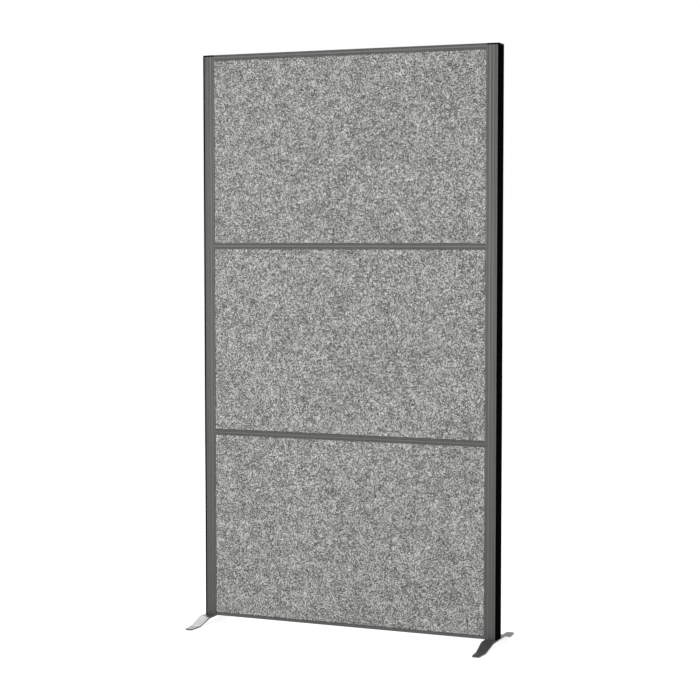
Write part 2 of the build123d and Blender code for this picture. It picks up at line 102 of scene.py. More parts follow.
class Nodes:
    """Short calls for the nodes of one tree, shader or geometry."""

    def __init__(self, tree: bpy.types.NodeTree) -> None:
        """Starts on the tree that the nodes go into."""
        self.tree = tree

    @staticmethod
    def pick(sockets: bpy.types.NodeInputs | bpy.types.NodeOutputs, key: str | int) -> Socket:
        """The socket of a name that is in use, or of a number.

        Args:
            sockets: a node's inputs or outputs.
            key: the socket's name or place.

        Returns:
            The socket.
        """
        if isinstance(key, int):
            return sockets[key]
        return next(socket for socket in sockets if socket.name == key and socket.enabled)

    def feed(self, socket: Socket, value: Value) -> None:
        """Fills an input.

        Args:
            socket: the input.
            value: its value, or the socket that feeds it.
        """
        if isinstance(value, Socket):
            self.tree.links.new(value, socket)
        else:
            socket.default_value = value

    def add(self, kind: str, inputs: Inputs | None = None, **settings: Value) -> bpy.types.Node:
        """Adds a node, sets its options, and fills its inputs.

        Args:
            kind: the node's Blender type.
            inputs: for each input, a value or the socket that feeds it.
            settings: the node's own options.

        Returns:
            The node.
        """
        node = self.tree.nodes.new(kind)
        for name, value in settings.items():
            setattr(node, name, value)
        for key, value in (inputs or {}).items():
            self.feed(self.pick(node.inputs, key), value)
        return node

    def out(self, kind: str, output: str | int, inputs: Inputs | None = None, **settings: Value) -> Socket:
        """Adds a node as add does, and returns its output of this name or place."""
        return self.pick(self.add(kind, inputs, **settings).outputs, output)

    def math(self, operation: str, *values: Value) -> Socket:
        """The result of a Math node with one, two or three operands."""
        return self.out("ShaderNodeMath", 0, dict(enumerate(values)), operation=operation)

    def spread(self, value: Value, low: float, high: float, start: float, end: float) -> Socket:
        """A smooth step from start, where value is at low, to end, where it is at high."""
        limits = {"Value": value, "From Min": low, "From Max": high, "To Min": start, "To Max": end}
        return self.out("ShaderNodeMapRange", "Result", limits, interpolation_type="SMOOTHSTEP")

    def total(self, *values: Value) -> Socket:
        """The sum of several values.

        Args:
            values: the sockets or numbers to add.

        Returns:
            The sum's socket.
        """
        result = values[0]
        for value in values[1:]:
            result = self.math("ADD", result, value)
        return result


class Paint(Nodes):
    """A material with one Principled shader, filled from the object's own coordinates."""

    def __init__(self, name: str) -> None:
        """Makes the material with its shader.

        Args:
            name: the material's name.
        """
        self.material = bpy.data.materials.new(name)
        self.material.use_nodes = True
        super().__init__(self.material.node_tree)
        self.tree.nodes.clear()
        self.shader = self.add("ShaderNodeBsdfPrincipled")
        self.add("ShaderNodeOutputMaterial", {"Surface": self.shader.outputs["BSDF"]})
        self.place = self.out("ShaderNodeTexCoord", "Object")

    def stretched(self, size: Place, turn: float = 0, shift: float = 0, place: Value = None) -> Socket:
        """Coordinates in which a pattern's patches have this size, turned about Y.

        Args:
            size: the reach of one patch along X, Y and Z, in metres.
            turn: the pattern's turn about Y, in degrees.
            shift: how far the pattern is moved along each axis, in metres.
            place: the coordinates to start from, or the object's own.

        Returns:
            The coordinates' socket.
        """
        inputs = {"Vector": place or self.place, "Location": (shift,) * 3, "Scale": size,
                  "Rotation": (0, math.radians(turn), 0)}
        return self.out("ShaderNodeMapping", 0, inputs, vector_type="TEXTURE")

    def wandering(self, scale: float, reach: float) -> Socket:
        """The object's coordinates pushed about by noise, so that lines drawn on them wander.

        Args:
            scale: bends for each metre.
            reach: how far the whole noise pushes, in metres.

        Returns:
            The coordinates' socket.
        """
        cloud = self.noise(self.place, scale, detail=2, output="Color")
        push = self.out("ShaderNodeVectorMath", 0, {0: cloud, 1: (0.5, 0.5, 0.5)}, operation="SUBTRACT")
        push = self.out("ShaderNodeVectorMath", 0, {0: push, "Scale": reach}, operation="SCALE")
        return self.out("ShaderNodeVectorMath", 0, {0: self.place, 1: push}, operation="ADD")

    def noise(self, place: Value, scale: float = 1, detail: float = 1, roughness: float = 0.5,
              output: str = "Fac") -> Socket:
        """Noise with scale patches to a unit of place and detail finer layers. Color gives three values."""
        inputs = {"Vector": place, "Scale": scale, "Detail": detail, "Roughness": roughness}
        return self.out("ShaderNodeTexNoise", output, inputs)

    def ramp(self, value: Value, *stops: tuple[float, Colour]) -> Socket:
        """Colours along a value.

        Args:
            value: the socket that is read.
            stops: places from 0 to 1 with their colours.

        Returns:
            The colour's socket.
        """
        node = self.add("ShaderNodeValToRGB", {"Fac": value})
        elements = node.color_ramp.elements
        while len(elements) < len(stops):
            elements.new(0.5)
        for element, (where, colour) in zip(elements, stops):
            element.position = where
            element.color = (*colour, 1)
        return node.outputs["Color"]

    def tinted(self, value: Value, colour: Colour, tones: Span, limits: Span = USUAL) -> Socket:
        """Shades of a colour: the first tone up to value's lower limit, and the second from its upper."""
        return self.ramp(value, *((limit, shade(colour, tone)) for limit, tone in zip(limits, tones)))

    def mixed(self, first: Value, second: Value, share: float) -> Socket:
        """Two patterns in one, this share of it from the first."""
        return self.math("MULTIPLY_ADD", first, share, self.math("MULTIPLY", second, 1 - share))

    def relief(self, height: Value, depth: float, strength: float = 1) -> None:
        """Gives the shader a bump from a height of 0 to 1, depth metres deep, at this strength."""
        inputs = {"Height": height, "Distance": depth, "Strength": strength}
        self.tree.links.new(self.out("ShaderNodeBump", "Normal", inputs), self.shader.inputs["Normal"])

    def fill(self, **inputs: Value) -> None:
        """Fills the shader's inputs, named with _ for a space."""
        for name, value in inputs.items():
            self.feed(self.shader.inputs[name.replace("_", " ")], value)


def shade(colour: Colour, factor: float) -> Colour:
    """A colour with each of its parts multiplied by a factor, up to 1."""
    return tuple(min(1, part * factor) for part in colour)


def added(name: str, data: bpy.types.ID) -> bpy.types.Object:
    """Adds an object to the scene.

    Args:
        name: the object's name.
        data: its mesh, lamp or camera.

    Returns:
        The object.
    """
    thing = bpy.data.objects.new(name, data)
    bpy.context.scene.collection.objects.link(thing)
    return thing


@dataclass(frozen=True)
class FrameMetal:
    """Dark grey, satin aluminium, with the fine lines that drawing leaves along an extrusion."""

    grain: Grain
    colour: Colour
    metallic: float = 0.85
    tones: Span = (0.92, 1.08)
    line_share: float = 0.6
    cloud_scale: float = 7
    line_depth: float = 0.00002
    roughness: Span = (0.38, 0.48)

    def material(self) -> bpy.types.Material:
        """The finish as a material."""
        paint = Paint(f"frame_metal_{self.grain.name.lower()}")
        lines = paint.noise(paint.stretched(self.grain.value), detail=2)
        clouds = paint.noise(paint.place, self.cloud_scale, detail=2)
        tone = paint.mixed(lines, clouds, self.line_share)
        paint.fill(Base_Color=paint.tinted(tone, self.colour, self.tones),
                   Metallic=self.metallic, Roughness=paint.spread(lines, *USUAL, *self.roughness))
        paint.relief(lines, self.line_depth)
        return paint.material


@dataclass(frozen=True)
class BlackPlastic:
    """Black plastic with a fine moulded grain."""

    name: str
    colour: Colour
    specular: float
    roughness: Span
    tones: Span = (0.8, 1.2)
    grain_scale: float = 1300
    cloud_scale: float = 18
    grain_depth: float = 0.00002

    def material(self) -> bpy.types.Material:
        """The finish as a material."""
        paint = Paint(self.name)
        grain = paint.noise(paint.place, self.grain_scale, detail=2)
        clouds = paint.noise(paint.place, self.cloud_scale, detail=3)
        paint.fill(Base_Color=paint.tinted(clouds, self.colour, self.tones),
                   Specular_IOR_Level=self.specular, Roughness=paint.spread(clouds, *USUAL, *self.roughness))
        paint.relief(grain, self.grain_depth)
        return paint.material


@dataclass(frozen=True)
class PowderCoat:
    """Dark grey powder coat over steel, finely pebbled, with a satin shine."""

    colour: Colour = (0.058, 0.058, 0.057)
    tones: Span = (0.78, 1.22)
    pebble_share: float = 0.65
    pebble_scale: float = 750
    cloud_scale: float = 25
    pebble_depth: float = 0.00006
    roughness: Span = (0.32, 0.40)

    def material(self) -> bpy.types.Material:
        """The finish as a material."""
        paint = Paint("foot_metal")
        pebbles = paint.noise(paint.place, self.pebble_scale, detail=1)
        clouds = paint.noise(paint.place, self.cloud_scale, detail=3)
        tone = paint.mixed(pebbles, clouds, self.pebble_share)
        paint.fill(Base_Color=paint.tinted(tone, self.colour, self.tones),
                   Specular_IOR_Level=0.5, Roughness=paint.spread(tone, *USUAL, *self.roughness))
        paint.relief(pebbles, self.pebble_depth)
        return paint.material


@dataclass(frozen=True)
class PlatedSteel:
    """Zinc-plated steel, slightly blotched, with the fine lines of its turning."""

    colour: Colour = (0.5, 0.5, 0.5)
    tones: Span = (0.78, 1.2)
    blotch_scale: float = 240
    line: Place = (0.0004, 0.02, 0.0004)
    line_depth: float = 0.00002
    roughness: Span = (0.26, 0.42)

    def material(self) -> bpy.types.Material:
        """The finish as a material."""
        paint = Paint("plain_steel")
        blotches = paint.noise(paint.place, self.blotch_scale, detail=4, roughness=0.6)
        turning = paint.noise(paint.stretched(self.line), detail=1)
        paint.fill(Base_Color=paint.tinted(blotches, self.colour, self.tones), Metallic=1.0,
                   Roughness=paint.spread(blotches, *USUAL, *self.roughness))
        paint.relief(turning, self.line_depth)
        return paint.material


@dataclass(frozen=True)
class PadRubber:
    """Black rubber, matt and faintly dusty."""

    colour: Colour = (0.03, 0.03, 0.03)
    tones: Span = (0.7, 1.8)
    dust_scale: float = 160
    dust_limits: Span = (0.35, 0.75)
    stipple_scale: float = 2200
    stipple_depth: float = 0.00003
    roughness: Span = (0.72, 0.9)

    def material(self) -> bpy.types.Material:
        """The finish as a material."""
        paint = Paint("pad_rubber")
        dust = paint.noise(paint.place, self.dust_scale, detail=4)
        stipple = paint.noise(paint.place, self.stipple_scale, detail=1)
        paint.fill(Base_Color=paint.tinted(dust, self.colour, self.tones, self.dust_limits),
                   Roughness=paint.spread(dust, *USUAL, *self.roughness))
        paint.relief(stipple, self.stipple_depth)
        return paint.material


@dataclass(frozen=True)
class CoreBoard:
    """Pressed fibre board, pale and matt, with short fibres in it."""

    colour: Colour = (0.55, 0.53, 0.48)
    tones: Span = (0.72, 1.18)
    fibre: Place = (0.009, 0.002, 0.0016)
    fibre_turn: float = 35
    fleck_scale: float = 420
    fleck_share: float = 0.4
    depth: float = 0.0002
    roughness: Span = (0.82, 0.95)

    def material(self) -> bpy.types.Material:
        """The finish as a material."""
        paint = Paint("core_board")
        fibres = paint.noise(paint.stretched(self.fibre, self.fibre_turn), detail=3)
        flecks = paint.noise(paint.place, self.fleck_scale, detail=2)
        tone = paint.mixed(flecks, fibres, self.fleck_share)
        paint.fill(Base_Color=paint.tinted(tone, self.colour, self.tones),
                   Roughness=paint.spread(tone, *USUAL, *self.roughness))
        paint.relief(tone, self.depth)
        return paint.material


@dataclass(frozen=True)
class Strands:
    """The felt's fibres of one thickness: light and dark lines that cross at several angles.

    Attributes:
        length: the reach of one line along itself.
        width: its reach across.
        share: how much lighter and darker the lines are than the felt, as a part of its tone.
        turns: the angle of each set of lines, in degrees.
        apart: how far each set's pattern is moved from the one before, so that no two are alike.
        light_limits: the noise's values between which a light line comes up.
        dark_limits: the values between which a dark line fades out.
    """

    length: float
    width: float
    share: float
    turns: tuple[float, ...]
    apart: float = 0.37
    light_limits: Span = (0.55, 0.75)
    dark_limits: Span = (0.25, 0.45)

    def tones(self, paint: Paint, place: Value) -> list[Socket]:
        """Draws the lines.

        Args:
            paint: the felt's nodes.
            place: the coordinates that the lines are drawn on.

        Returns:
            What they add to the felt's tone: for each angle, that of its light and that of its dark lines.
        """
        tones = []
        for number, turn in enumerate(self.turns):
            reach = (self.length, self.width, self.width)
            lines = paint.noise(paint.stretched(reach, turn, self.apart * number, place))
            tones.append(paint.spread(lines, *self.light_limits, 0, self.share))
            tones.append(paint.spread(lines, *self.dark_limits, -self.share, 0))
        return tones


@dataclass(frozen=True)
class MelangeFelt:
    """Grey melange felt: light and dark fibres, needled together in wandering streaks and hairs.

    Attributes:
        dark: the colour of its darkest fibres.
        middle: its colour between them.
        light: the colour of its lightest fibres.
        streaks: tufts of fibres.
        hairs: single fibres.
        bend_scale: bends of a line for each metre.
        bend_reach: how far the bends push it.
        fleck_scale: flecks for each metre.
        fleck_share: how much lighter and darker they are, as a part of the tone.
        fleck_limits: the noise's values of the darkest and the lightest flecks.
        patches: broad, soft patches as pairs of patches for each metre and their whole share of the tone.
        nap_depth: how deep the nap is.
        tone_limits: the tones between which the roughness changes.
        roughness: its limits, from dark to light fibres.
    """

    dark: Colour = (0.097, 0.097, 0.096)
    middle: Colour = (0.281, 0.281, 0.274)
    light: Colour = (0.745, 0.742, 0.722)
    streaks: Strands = Strands(0.018, 0.0026, 0.365, (12, 57, 101, 148))
    hairs: Strands = Strands(0.013, 0.0006, 0.30, (35, 80, 124, 171))
    bend_scale: float = 65
    bend_reach: float = 0.011
    fleck_scale: float = 255
    fleck_share: float = 0.355
    fleck_limits: Span = (0.32, 0.68)
    patches: tuple[Span, ...] = ((32, 0.36), (9, 0.11))
    nap_depth: float = 0.0008
    tone_limits: Span = (0.2, 0.8)
    roughness: Span = (0.98, 0.86)

    def material(self) -> bpy.types.Material:
        """The finish as a material."""
        paint = Paint("felt")
        wandering = paint.wandering(self.bend_scale, self.bend_reach)
        flecks = paint.noise(paint.place, self.fleck_scale)
        tones = [paint.spread(flecks, *self.fleck_limits, -self.fleck_share, self.fleck_share)]
        for strands in (self.streaks, self.hairs):
            tones += strands.tones(paint, wandering)
        for scale, share in self.patches:
            patch = paint.noise(paint.place, scale, detail=0)
            tones.append(paint.math("MULTIPLY_ADD", patch, share, -share / 2))
        tone = paint.total(0.5, *tones)
        colour = paint.ramp(tone, (0.0, self.dark), (0.5, self.middle), (1.0, self.light))
        paint.fill(Base_Color=colour, Roughness=paint.spread(tone, *self.tone_limits, *self.roughness),
                   Specular_IOR_Level=0.1, Sheen_Weight=0.12, Sheen_Roughness=0.5)
        paint.relief(tone, self.nap_depth, strength=0.7)
        return paint.material


@dataclass(frozen=True)
class LooseFibre:
    """The loose fibres of the felt, from dark to light, each of one shade with faint patches.

    Their tone counts from tone_start, and stops are the tones of the three colours.
    """

    dark: Colour = (0.09, 0.09, 0.09)
    middle: Colour = (0.34, 0.34, 0.33)
    light: Colour = (0.78, 0.775, 0.75)
    stops: tuple[float, float, float] = (0.1, 0.45, 0.95)
    tone_start: float = -0.1
    own_share: float = 0.9
    patch_share: float = 0.3
    patch_scale: float = 300
    patch_depth: float = 0.00008
    roughness: Span = (0.75, 0.9)

    def material(self) -> bpy.types.Material:
        """The finish as a material."""
        paint = Paint("felt_fibre")
        own = paint.out("ShaderNodeAttribute", "Fac", attribute_name=FIBRE_SHADE, attribute_type="GEOMETRY")
        patch = paint.noise(paint.place, self.patch_scale, detail=1)
        tone = paint.math("MULTIPLY_ADD", own, self.own_share, self.tone_start)
        tone = paint.math("MULTIPLY_ADD", patch, self.patch_share, tone)
        paint.fill(Base_Color=paint.ramp(tone, *zip(self.stops, (self.dark, self.middle, self.light))),
                   Roughness=paint.spread(patch, *USUAL, *self.roughness), Specular_IOR_Level=0.15)
        paint.relief(patch, self.patch_depth)
        return paint.material


@dataclass(frozen=True)
class FibreGrowth:
    """The rule by which loose fibres lie on a felt face, as one Geometry Nodes tree with named inputs.

    The tree scatters short lines over the face, bends each by its own noise, keeps their ends near the edge,
    and turns them into thin three-sided threads with a UV map in which each thread has its own cell.

    Attributes:
        per_square_metre: how many fibres there are.
        shortest: the least length of a fibre.
        longest: the greatest.
        radius: a thread's radius in its middle.
        tip: the part of it that is left at the thread's ends.
        taper_start: how far from its middle a thread starts to thin, as a part of its length.
        loft: how far the highest fibres stand off the face.
        rise_limits: the noise's values between which a fibre rises from the face to its loft.
        points: the points along one fibre.
        bend_scale: bends for each metre.
        bend_reach: how far the whole noise pushes a point.
        bend_step: how far apart two fibres in a row read the noise.
        drawn_in: the part of a fibre's way past the edge that is taken back.
        edge_reach: how far inside the edge the fibres start to rise.
        edge_lift: how far they have risen at the edge.
        cells: the columns and rows of the UV map.
        in_cell: a thread's start and reach in its cell, across and up, as parts of the cell.
    """

    per_square_metre: float = 9000
    shortest: float = 0.010
    longest: float = 0.034
    radius: float = 0.00021
    tip: float = 0.45
    taper_start: float = 0.3
    loft: float = 0.0013
    rise_limits: Span = (0.35, 0.75)
    points: int = 6
    bend_scale: float = 38
    bend_reach: float = 0.036
    bend_step: float = 3.7
    drawn_in: float = 0.8
    edge_reach: float = 0.004
    edge_lift: float = 0.0009
    cells: tuple[int, int] = (52, 104)
    in_cell: tuple[Span, Span] = ((0.12, 0.76), (0.15, 0.9))

    def tree(self, material: bpy.types.Material) -> bpy.types.NodeTree:
        """Builds the tree.

        Args:
            material: the fibres' finish.

        Returns:
            The tree, which a modifier on the face's outline takes.
        """
        tree = bpy.data.node_groups.new("felt_fibres", "GeometryNodeTree")
        socket = tree.interface.new_socket
        socket("Geometry", in_out="INPUT", socket_type="NodeSocketGeometry")
        for name, kind in (("Fibres per square metre", "Float"), ("Shortest", "Float"), ("Longest", "Float"),
                           ("Radius", "Float"), ("Loft", "Float"), ("Outward", "Float"), ("Centre", "Vector"),
                           ("Half size", "Vector"), ("Seed", "Int")):
            socket(name, in_out="INPUT", socket_type=f"NodeSocket{kind}")
        socket("Geometry", in_out="OUTPUT", socket_type="NodeSocketGeometry")
        g = Nodes(tree)
        given = g.add("NodeGroupInput").outputs
        fibres = self._scatter(g, given)
        fibres = self._bend(g, given, fibres)
        threads = self._thread(g, given, fibres)
        realised = g.out("GeometryNodeRealizeInstances", 0, {0: threads})
        finished = g.out("GeometryNodeSetMaterial", 0, {"Geometry": realised, "Material": material})
        g.add("NodeGroupOutput", {0: finished})
        return tree

    def _scatter(self, g: Nodes, given: bpy.types.NodeOutputs) -> Socket:
        """Scatters straight fibres over the face.

        Args:
            g: the tree's nodes.
            given: the tree's inputs.

        Returns:
            The fibres, as separate curves, each with its shade and its number.
        """
        inputs = {"Mesh": given["Geometry"], "Density": given["Fibres per square metre"],
                  "Seed": given["Seed"]}
        spots = g.out("GeometryNodeDistributePointsOnFaces", "Points", inputs, distribute_method="RANDOM")
        spots = self._store(g, spots, FIBRE_SHADE, self._random(g, 0.0, 1.0, seed=1))
        spots = self._store(g, spots, "number", g.out("GeometryNodeInputIndex", 0))
        line = g.out("GeometryNodeCurvePrimitiveLine", 0, {"Start": (-0.5, 0, 0), "End": (0.5, 0, 0)})
        line = g.out("GeometryNodeResampleCurve", 0, {"Curve": line, "Count": self.points})
        turn = self._random(g, 0.0, math.pi, seed=2)
        length = self._random(g, given["Shortest"], given["Longest"], seed=3)
        rotation = g.out("ShaderNodeCombineXYZ", 0, {"Y": turn})
        scale = g.out("ShaderNodeCombineXYZ", 0, {"X": length, "Y": 1.0, "Z": 1.0})
        placed = g.out("GeometryNodeInstanceOnPoints", 0,
                       {"Points": spots, "Instance": line, "Rotation": rotation, "Scale": scale})
        return g.out("GeometryNodeRealizeInstances", 0, {0: placed})

    def _bend(self, g: Nodes, given: bpy.types.NodeOutputs, fibres: Socket) -> Socket:
        """Bends each fibre by its own noise, and draws in the ends that pass the face's edge.

        Args:
            g: the tree's nodes.
            given: the tree's inputs.
            fibres: the straight fibres.

        Returns:
            The bent fibres.
        """
        here = g.out("GeometryNodeInputPosition", 0)
        waves = g.out("ShaderNodeTexNoise", "Color",
                      {"Vector": here, "W": g.math("MULTIPLY", self._read(g, "number"), self.bend_step),
                       "Scale": self.bend_scale, "Detail": 2.0, "Roughness": 0.55}, noise_dimensions="4D")
        wave = g.add("ShaderNodeSeparateXYZ", {0: waves}).outputs
        spot = g.add("ShaderNodeSeparateXYZ", {0: here}).outputs
        centre = g.add("ShaderNodeSeparateXYZ", {0: given["Centre"]}).outputs
        half = g.add("ShaderNodeSeparateXYZ", {0: given["Half size"]}).outputs
        across, past_side = self._draw_in(g, spot["X"], wave["X"], centre["X"], half["X"])
        up, past_end = self._draw_in(g, spot["Z"], wave["Z"], centre["Z"], half["Z"])
        past = g.math("MAXIMUM", past_side, past_end)
        over_edge = g.spread(past, -self.edge_reach, 0.0, 0, self.edge_lift)
        lift = g.math("MULTIPLY_ADD", g.spread(wave["Y"], *self.rise_limits, 0, 1), given["Loft"], over_edge)
        depth = g.math("MULTIPLY_ADD", lift, given["Outward"], centre["Y"])
        place = g.out("ShaderNodeCombineXYZ", 0, {"X": across, "Y": depth, "Z": up})
        return g.out("GeometryNodeSetPosition", 0, {"Geometry": fibres, "Position": place})

    def _draw_in(self, g: Nodes, place: Socket, wave: Socket, centre: Socket,
                 half: Socket) -> tuple[Socket, Socket]:
        """One coordinate of a bent fibre, drawn in where it passes the face's edge.

        Args:
            g: the tree's nodes.
            place: the straight fibre's coordinate.
            wave: its noise, from 0 to 1.
            centre: the face's middle.
            half: the face's half size.

        Returns:
            The new coordinate, and how far it lies past the edge.
        """
        bent = g.math("MULTIPLY_ADD", g.math("SUBTRACT", wave, 0.5), self.bend_reach, place)
        off = g.math("SUBTRACT", bent, centre)
        past = g.math("SUBTRACT", g.math("ABSOLUTE", off), half)
        taken = g.math("MULTIPLY", g.math("MAXIMUM", past, 0.0), self.drawn_in)
        return g.math("SUBTRACT", bent, g.math("MULTIPLY", g.math("SIGN", off), taken)), past

    def _thread(self, g: Nodes, given: bpy.types.NodeOutputs, fibres: Socket) -> Socket:
        """Gives the bent fibres their thickness and their UV map.

        Args:
            g: the tree's nodes.
            given: the tree's inputs.
            fibres: the bent fibres.

        Returns:
            The threads' mesh.
        """
        along = g.out("GeometryNodeSplineParameter", "Factor")
        off = g.math("ABSOLUTE", g.math("SUBTRACT", along, 0.5))
        taper = g.spread(off, self.taper_start, 0.5, 1, self.tip)
        fibres = g.out("GeometryNodeSetCurveRadius", 0, {"Curve": fibres, "Radius": taper})
        fibres = self._store(g, fibres, "along", along)
        ring = g.out("GeometryNodeCurvePrimitiveCircle", 0, {"Resolution": 3, "Radius": given["Radius"]})
        ring = self._store(g, ring, "around", along)
        threads = g.out("GeometryNodeCurveToMesh", 0,
                        {"Curve": fibres, "Profile Curve": ring, "Fill Caps": True})
        number = self._read(g, "number")
        columns, rows = self.cells
        (left, reach_across), (bottom, reach_up) = self.in_cell
        column = g.math("MODULO", number, columns)
        row = g.math("FLOOR", g.math("DIVIDE", number, columns))
        across = g.total(column, left, g.math("MULTIPLY", self._read(g, "along"), reach_across))
        up = g.total(row, bottom, g.math("MULTIPLY", self._read(g, "around"), reach_up))
        place = g.out("ShaderNodeCombineXYZ", 0,
                      {"X": g.math("DIVIDE", across, columns), "Y": g.math("DIVIDE", up, rows)})
        threads = self._store(g, threads, UV_MAP, place, "FLOAT2", "CORNER")
        for name in ("number", "along", "around"):
            threads = g.out("GeometryNodeRemoveAttribute", 0, {"Geometry": threads, "Name": name})
        return threads

    @staticmethod
    def _random(g: Nodes, low: Value, high: Value, seed: int) -> Socket:
        """A random number for each point, from low to high."""
        return g.out("FunctionNodeRandomValue", 1, {2: low, 3: high, "Seed": seed}, data_type="FLOAT")

    @staticmethod
    def _read(g: Nodes, name: str) -> Socket:
        """The value that each point has stored under a name."""
        return g.out("GeometryNodeInputNamedAttribute", "Attribute", {"Name": name}, data_type="FLOAT")

    @staticmethod
    def _store(g: Nodes, geometry: Socket, name: str, value: Value, kind: str = "FLOAT",
               domain: str = "POINT") -> Socket:
        """The geometry with a value stored under a name, for each point or each corner."""
        inputs = {"Geometry": geometry, "Name": name, "Value": value}
        return g.out("GeometryNodeStoreNamedAttribute", 0, inputs, data_type=kind, domain=domain)


@dataclass
class FeltFace:
    """One stretched sheet of felt on one side of a panel's core, with the loose fibres on it.

    Attributes:
        level: the panel's level.
        side: the side that the sheet covers.
        number: the sheet's number among the six, from which its random draws start.
        cell: the width of one face of the mesh.
        rounding: the radius of the sheet's edges.
        bend_angles: the angles round an edge at which the mesh has points, in degrees.
        relief: the unit in which its lumps' heights are counted.
        lump_layers: for each layer of lumps, their width in faces and their height.
        lump_limit: the height past which a lump is cut off.
        lump_divisor: what the heights are divided by.
        waver: how far the outline moves in or out.
        waver_gain: how much of the lumps' height makes the outline move.
        waver_reach: how far from the outline the movement has faded.
        fibre_height: how high over the face the fibres lie.
        map_margin: the empty part of the UV map round the sheet.
        rim_on_map: the width of the rim's walls on the map, across and up.
        face_on_map: where up the map the face starts, and its height there.
        back_on_map: the same for the flat back.
    """

    level: Level
    side: Side
    number: int
    cell: float = 0.0046
    rounding: float = 0.0026
    bend_angles: tuple[float, ...] = (0, 25, 50, 70, 90)
    relief: float = 0.0003
    lump_layers: tuple[tuple[int, float], ...] = ((1, 0.55), (3, 0.65), (9, 0.6), (30, 0.5))
    lump_limit: float = 2.2
    lump_divisor: float = 1.6
    waver: float = 0.0002
    waver_gain: float = 0.6
    waver_reach: float = 0.008
    fibre_height: float = 0.0001
    map_margin: float = 0.01
    rim_on_map: Span = (0.009, 0.014)
    face_on_map: Span = (0.08, 0.92)
    back_on_map: Span = (0.01, 0.05)

    def __post_init__(self) -> None:
        """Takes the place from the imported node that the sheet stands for."""
        self.node = f"felt_{self.side.word}_{self.level.value}"
        self.low, self.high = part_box(self.node)
        self.centre = (self.low + self.high) / 2
        self.half = (self.high - self.low) / 2
        self.front = self.centre.y + self.side.outward * self.half.y
        self.back = self.centre.y - self.side.outward * self.half.y
        self.random = np.random.default_rng(SHEET_SEED + self.number)

    def _stations(self, half: float) -> np.ndarray:
        """Places across the sheet, closer together over its rounded edges.

        Args:
            half: half the sheet's size.

        Returns:
            The places, from one edge to the other, counted from the middle.
        """
        bend = self.rounding * (1 - np.cos(np.radians(self.bend_angles)))
        inner = half - self.rounding
        count = round(2 * inner / self.cell)
        middle = np.linspace(-inner, inner, count + 1)[1:-1]
        return np.concatenate([-half + bend, middle, half - bend[::-1]])

    def _lumps(self, rows: int, columns: int) -> np.ndarray:
        """Smooth random heights over the sheet.

        Args:
            rows: the number of points up the sheet.
            columns: the number of points across it.

        Returns:
            Heights around zero, one for each point.
        """
        total = np.zeros((rows, columns))
        for step, share in self.lump_layers:
            coarse = self.random.standard_normal((rows // step + 3, columns // step + 3))
            # Each point lies between two coarse ones, so the last stops just short of the last but one.
            up = np.linspace(0, coarse.shape[0] - 2.001, rows)
            over = np.linspace(0, coarse.shape[1] - 2.001, columns)
            i, j = up.astype(int)[:, None], over.astype(int)[None, :]
            s, t = (up % 1)[:, None], (over % 1)[None, :]
            s, t = s * s * (3 - 2 * s), t * t * (3 - 2 * t)
            total += share * ((coarse[i, j] * (1 - s) + coarse[i + 1, j] * s) * (1 - t)
                              + (coarse[i, j + 1] * (1 - s) + coarse[i + 1, j + 1] * s) * t)
        return np.clip(total, -self.lump_limit, self.lump_limit) * self.relief / self.lump_divisor

    def _front_points(self) -> tuple[np.ndarray, np.ndarray, np.ndarray]:
        """The points of the sheet's face, with its rounded edges, its lumps and its wavering outline.

        Returns:
            X, Y and Z of a grid of points, rows going up.
        """
        xs, zs = self._stations(self.half.x), self._stations(self.half.z)
        x, z = np.meshgrid(xs, zs)
        from_side, from_end = self.half.x - np.abs(x), self.half.z - np.abs(z)
        corner = np.hypot(np.maximum(0, self.rounding - from_side), np.maximum(0, self.rounding - from_end))
        drop = self.rounding - np.sqrt(np.maximum(0, self.rounding**2 - corner**2))
        lump_fade = 3 * self.rounding
        inside = np.clip(np.minimum(from_side, from_end) / lump_fade, 0, 1)
        height = self._lumps(*x.shape) * inside - drop
        for plane, distance in ((x, from_side), (z, from_end)):
            fade = np.clip(1 - distance / self.waver_reach, 0, 1)
            shift = np.clip(self._lumps(*x.shape) / self.relief * self.waver_gain, -1, 1) * self.waver * fade
            plane += shift * np.sign(plane)
        return x + self.centre.x, self.front + self.side.outward * height, z + self.centre.z

    def sheet(self, material: bpy.types.Material) -> bpy.types.Object:
        """Makes the sheet, closed, with a flat back and a UV map that its face fills.

        Args:
            material: the felt.

        Returns:
            The sheet's object.
        """
        x, y, z = self._front_points()
        rows, columns = x.shape
        points = np.stack([x, y, z], axis=-1).reshape(-1, 3)
        index = np.arange(rows * columns).reshape(rows, columns)
        corners = (index[:-1, :-1], index[:-1, 1:], index[1:, 1:], index[1:, :-1])
        quads = np.stack(corners, axis=-1).reshape(-1, 4)
        loop = np.concatenate([index[0, :-1], index[:-1, -1], index[-1, :0:-1], index[:0:-1, 0]])
        rear = points[loop].copy()
        rear[:, 1] = self.back
        first = len(points)
        behind = np.arange(first, first + len(loop))
        wall = np.stack([loop, behind, np.roll(behind, -1), np.roll(loop, -1)], axis=-1)
        faces = [*quads.tolist(), *wall.tolist(), behind[::-1].tolist()]
        mesh = bpy.data.meshes.new(f"felt_sheet_{self.side.word}_{self.level.value}")
        mesh.from_pydata(np.concatenate([points, rear]).tolist(), [], faces)
        self._unfold(mesh, len(quads), len(wall))
        smooth = np.ones(len(faces), bool)
        smooth[-1] = False
        mesh.polygons.foreach_set("use_smooth", smooth)
        shell = bmesh.new()
        shell.from_mesh(mesh)
        bmesh.ops.recalc_face_normals(shell, faces=shell.faces)
        shell.to_mesh(mesh)
        shell.free()
        mesh.materials.append(material)
        return added(mesh.name, mesh)

